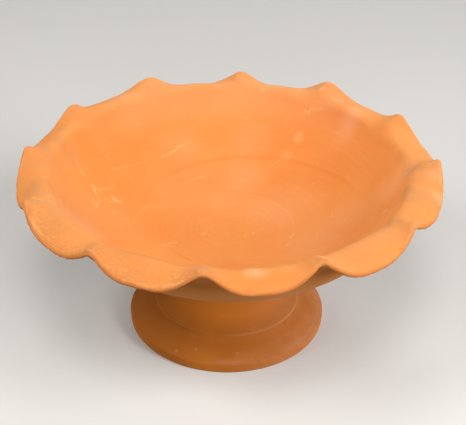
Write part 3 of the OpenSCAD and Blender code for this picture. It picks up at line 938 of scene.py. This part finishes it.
def crease_line(s, turn, share):
    """Painted shade: the darker crease along the crest, at the front left."""
    bend = s.plus(turn, CREASE_FRONT_TURN)
    bend = s.times(bend, bend, CREASE_BEND)
    crease = s.plus(share, bend, s.times(s.mottle, CREASE_WAVE))
    away = s.math("ABSOLUTE", s.math("SUBTRACT", crease, CREASE_R))
    return s.times(s.rise(away, CREASE_W, 0.0), s.span(turn, CREASE_FADE_IN, CREASE_FADE_OUT))


def dust_and_shade(s, dusts_and_shades, rim, pinch):
    """Dust in the notches, more of it at the front, and in the dusty clouds, which along the crest are
    painted shade.
    """
    patches = s.noise(s.where, DUST_PATCHES, detail=3.0, roughness=0.55)
    in_front = s.times(s.rise(s.y, *DUSTY_FRONT_Y), DUSTY_FRONT)
    dusty = s.times(pinch, s.rise(patches, *DUST_CUT), s.plus(DUSTY_BACK, in_front))
    dusty = s.math("MAXIMUM", dusty, s.times(dusts_and_shades, s.rise(s.mottle, *DUST_AND_SHADE_MOTTLE)))
    return s.times(dusty, s.rise(rim, *DUST_AND_SHADE_ENDS))


def scuff_front_left(s, colour, rim):
    """Pale scuffs and dark pits on the lobes at the front left."""
    front_left = s.times(s.rise(s.y, *FRONT_LEFT_Y), s.rise(s.x, *FRONT_LEFT_X))
    front_left = s.times(front_left, s.rise(rim, *FRONT_LEFT_ENDS))
    scrapes = s.noise(s.where, SCRAPES, roughness=0.7)
    scuffed = s.times(s.rise(scrapes, *SCUFF_CUT), s.rise(rim, *SCUFFS_START))
    colour = s.mix(s.times(scuffed, front_left, SCUFFED), colour, CHALK)
    rough = s.times(s.rise(scrapes, *ROUGH_CUT), s.rise(rim, *ROUGH_STARTS))
    return s.mix(s.times(rough, front_left, ROUGHENED), colour, EDGE_AND_SHADE)


def wear_and_shade_rim(s, colour, rim, pinch):
    """Fine pale and dark lines along the lip, a darker edge and a deeper outside, both painted shade.
    """
    lines = s.noise(s.join(*s.around, s.times(rim, LIP_ALONG)), LIP_LINES)
    near_lip = s.span(rim, LIP_FADE_IN, LIP_FADE_OUT)
    colour = s.mix(s.times(near_lip, s.rise(lines, *WORN_CUT), WORN), colour, CHALK)
    # Painted shade: the lip's edge darker where it turns down from the light
    band = s.times(s.rise(rim, *BAND_STARTS), s.math("SUBTRACT", 1.0, pinch))
    colour = s.mix(s.times(band, EDGE_SHADED), colour, EDGE_AND_SHADE)
    # Painted shade: the outside darker under the rim, and darker still further under the dish
    deeper = s.plus(OUTSIDE_SHADE_NEAR_RIM, s.times(s.rise(rim, *BELOW_STARTS), OUTSIDE_SHADE_BELOW))
    colour = s.mix(s.times(s.rise(rim, *OUTSIDE_STARTS), deeper), colour, OUTSIDE_SHADE)
    return s.mix(s.times(near_lip, s.rise(lines, *GOUGED_CUT), GOUGED), colour, EDGE_AND_SHADE)


def mark_foot(s, colour):
    """The pedestal's marks: painted shadow on its left, a stem painted lighter, painted sheen on one
    side, worn ridges that are partly painted highlight, and painted shade by the shoulder.
    """
    # Painted shadow: the foot darker on its left and low down, where the dish shades it
    dark = s.times(s.rise(s.x, *SHADOW_LEFT_X), s.rise(s.z, *SHADOW_LOW_Z))
    colour = s.mix(s.times(dark, FOOT_SHADOWED), colour, FOOT_SHADOW)
    # Painted light: the stem coloured lighter, making up for the dish's shadow over it
    colour = s.mix(s.times(s.rise(s.z, *STEM_Z), STEM_LIT), colour, STEM_LIGHT)
    # Painted sheen: the foot's right side paler, where the light falls on it
    film = s.times(s.rise(s.x, *FOOT_SHEEN_X), s.rise(s.mottle, *FOOT_SHEEN_MOTTLE))
    colour = s.mix(s.times(film, FOOT_SHEENED), colour, FOOT_PALE_MARK_AND_SHEEN)
    # Pale worn patches on the ridges, kept to the lit right side as painted highlight
    patches = s.noise(s.where, WEAR_PATCHES, detail=3.0, roughness=0.55)
    worn = s.times(s.attribute("wear_and_highlight"), s.rise(patches, *FOOT_WORN_CUT))
    colour = s.mix(s.times(worn, s.rise(s.x, *FOOT_LIT_SIDE_X), FOOT_WORN_AND_LIT), colour, FOOT_PALE_MARK_AND_SHEEN)
    flat = s.vector("MULTIPLY", s.where, PLAN)
    foot = FOOT_R * MM
    dabs = s.most(
        s.spot(flat, [x * foot, y * foot, 0.0], size * MM, f) for x, y, size, f in FOOT_DABS
    )
    colour = s.mix(s.times(dabs, s.rise(s.z, *DABS_Z)), colour, FOOT_PALE_MARK_AND_SHEEN)
    # Painted shade beside the shoulder's step
    return s.mix(s.times(s.attribute("shade"), FOOT_SHADED), colour, FOOT_DEEP)


def terracotta(name, tone, deep, pale, mark):
    """Unglazed fired clay, with a piece's own marks, and its painted light and shade, over it."""
    s = Clay(name)
    colour = mark(s, plain_clay(s, tone, deep, pale))
    colour = s.mix(s.times(s.specks(s.where, *PALE_SPECKS), PALE_SPECKED), colour, CHALK)
    colour = s.mix(s.times(s.specks(s.where, *GRIT_SPECKS), GRIT_SPECKED), colour, GRIT)
    bsdf = s.nodes.new("ShaderNodeBsdfPrincipled")
    s.put(bsdf.inputs["Base Color"], colour)
    roughness = s.plus(CLAY_ROUGHNESS, s.times(s.mottle, MOTTLE_ROUGHNESS))
    s.put(bsdf.inputs["Roughness"], roughness)
    bsdf.inputs["Diffuse Roughness"].default_value = 0.7
    bsdf.inputs["Specular IOR Level"].default_value = 0.2
    bsdf.inputs["Sheen Weight"].default_value = 0.06
    bsdf.inputs["Sheen Roughness"].default_value = 0.5
    relief = s.plus(s.times(s.grain, GRAIN_BUMP), s.times(s.mottle, MOTTLE_BUMP))
    relief = s.plus(relief, s.times(s.streaks, STREAK_BUMP))
    bumps = s.nodes.new("ShaderNodeBump")
    bumps.inputs["Strength"].default_value = BUMP_STRENGTH
    bumps.inputs["Distance"].default_value = 1.0
    s.put(bumps.inputs["Height"], relief)
    s.put(bsdf.inputs["Normal"], bumps.outputs[0])
    s.put(s.output.inputs["Surface"], bsdf.outputs[0])
    return s.material


def paper(name, colour, bounce):
    """A plain backdrop: the camera sees its colour, and it bounces less light than that."""
    s = Shader(name)
    bsdf = s.nodes.new("ShaderNodeBsdfPrincipled")
    bsdf.inputs["Roughness"].default_value = 0.9
    bsdf.inputs["Specular IOR Level"].default_value = 0.1
    path = s.nodes.new("ShaderNodeLightPath").outputs
    seen = s.math("MAXIMUM", path["Is Camera Ray"], path["Is Glossy Ray"])
    seen = s.math("MAXIMUM", seen, path["Is Transmission Ray"])
    dim = [c * bounce for c in colour[:3]] + [1.0]
    s.put(bsdf.inputs["Base Color"], s.mix(seen, dim, colour))
    s.put(s.output.inputs["Surface"], bsdf.outputs[0])
    return s.material


# Camera, lamps and stage

# The photograph's view: degrees looked down and rolled, metres from its aim, millimetres of lens
CAMERA_TILT, CAMERA_ROLL, CAMERA_DISTANCE, CAMERA_LENS = 32.04, 0.96, 0.7982, 84.83
CAMERA_AIM = (3.75 * MM, 0, 89.57 * MM)

# Soft round lamps: where each stands and its power in watts
LAMPS = {
    "above": ((0.0, -0.85, 1.57), 8),
    "front": ((0.0, -1.64, 0.54), 5),
    "left": ((-1.38, -0.8, 0.68), 5.8),
    "high_left": ((-0.95, -0.55, 1.4), 8.8),
    "right": ((1.38, -0.8, 0.68), 12.8),
    "high_right": ((1.13, -0.65, 1.19), 12.4),
    "behind": ((0.0, 1.3, 1.2), 5),
}
LAMP_SIZE, LAMP_AIM = 0.6, (0, 0, 0.1)
ROOM_LIGHT, ROOM_TONE = 0.04, paint(236, 234, 230)
FLOOR_HALF, FLOOR_BOUNCE, FLOOR_TONE = 1.6, 0.15, paint(228, 225, 220)


def place_camera():
    """The photograph's view, 32 degrees down and 0.8 m from the bowl, with a slight roll."""
    tilt, roll = math.radians(CAMERA_TILT), math.radians(CAMERA_ROLL)
    back = Vector((0, -math.cos(tilt), math.sin(tilt)))
    right = Vector((1, 0, 0))
    up = back.cross(right)
    side = right * math.cos(roll) + up * math.sin(roll)
    top = up * math.cos(roll) - right * math.sin(roll)
    data = bpy.data.cameras.new("camera")
    data.sensor_fit = "HORIZONTAL"
    data.sensor_width = 36
    data.lens = CAMERA_LENS
    data.clip_end = 50
    camera = bpy.data.objects.new("camera", data)
    turned = Matrix((side, top, back)).transposed().to_4x4()
    camera.matrix_world = Matrix.Translation(Vector(CAMERA_AIM) + back * CAMERA_DISTANCE) @ turned
    bpy.context.scene.collection.objects.link(camera)
    bpy.context.scene.camera = camera


def softbox(name, place, power):
    data = bpy.data.lights.new(name, "AREA")
    data.shape = "DISK"
    data.size = LAMP_SIZE
    data.energy = power
    lamp = bpy.data.objects.new(name, data)
    turned = (Vector(place) - Vector(LAMP_AIM)).to_track_quat("Z", "Y").to_matrix().to_4x4()
    lamp.matrix_world = Matrix.Translation(place) @ turned
    bpy.context.scene.collection.objects.link(lamp)


def light_room():
    """A little even light on the object, and a pale room for the camera."""
    world = bpy.data.worlds.new("room")
    bpy.context.scene.world = world
    world.use_nodes = True
    nodes, links = world.node_tree.nodes, world.node_tree.links
    nodes.clear()
    out = nodes.new("ShaderNodeOutputWorld")
    path = nodes.new("ShaderNodeLightPath").outputs
    soft = nodes.new("ShaderNodeBackground")
    soft.inputs["Color"].default_value = (1, 1, 1, 1)
    soft.inputs["Strength"].default_value = ROOM_LIGHT
    pale = nodes.new("ShaderNodeBackground")
    pale.inputs["Color"].default_value = ROOM_TONE
    mixed = nodes.new("ShaderNodeMixShader")
    links.new(path["Is Camera Ray"], mixed.inputs[0])
    links.new(soft.outputs[0], mixed.inputs[1])
    links.new(pale.outputs[0], mixed.inputs[2])
    links.new(mixed.outputs[0], out.inputs[0])


def lay_floor():
    mesh = bpy.data.meshes.new("floor")
    half = FLOOR_HALF
    corners = [(-half, -half, 0), (half, -half, 0), (half, half, 0), (-half, half, 0)]
    mesh.from_pydata(corners, [], [(0, 1, 2, 3)])
    floor = bpy.data.objects.new("floor", mesh)
    bpy.context.scene.collection.objects.link(floor)
    floor.data.materials.append(paper("floor_paper", FLOOR_TONE, FLOOR_BOUNCE))


def dress(piece, material, node):
    piece.data.materials.append(material)
    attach(piece, "root")
    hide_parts(node)


bpy.context.scene.view_settings.view_transform = "Standard"
place_camera()
for lamp_name, (lamp_place, lamp_power) in LAMPS.items():
    softbox(lamp_name, lamp_place, lamp_power)
light_room()
lay_floor()

dish_clay = terracotta("dish_terracotta", DISH_TONE, DISH_DEEP, DISH_PALE, mark_dish)
foot_clay = terracotta("pedestal_terracotta", FOOT_TONE, FOOT_DEEP, FOOT_PALE, mark_foot)
dress(build_dish(), dish_clay, "dish")
dress(build_pedestal(), foot_clay, "pedestal")
dress(build_coil(), foot_clay, "seam_coil")
dress(build_slip(), foot_clay, "slip_layer")

bpy.context.view_layer.update()
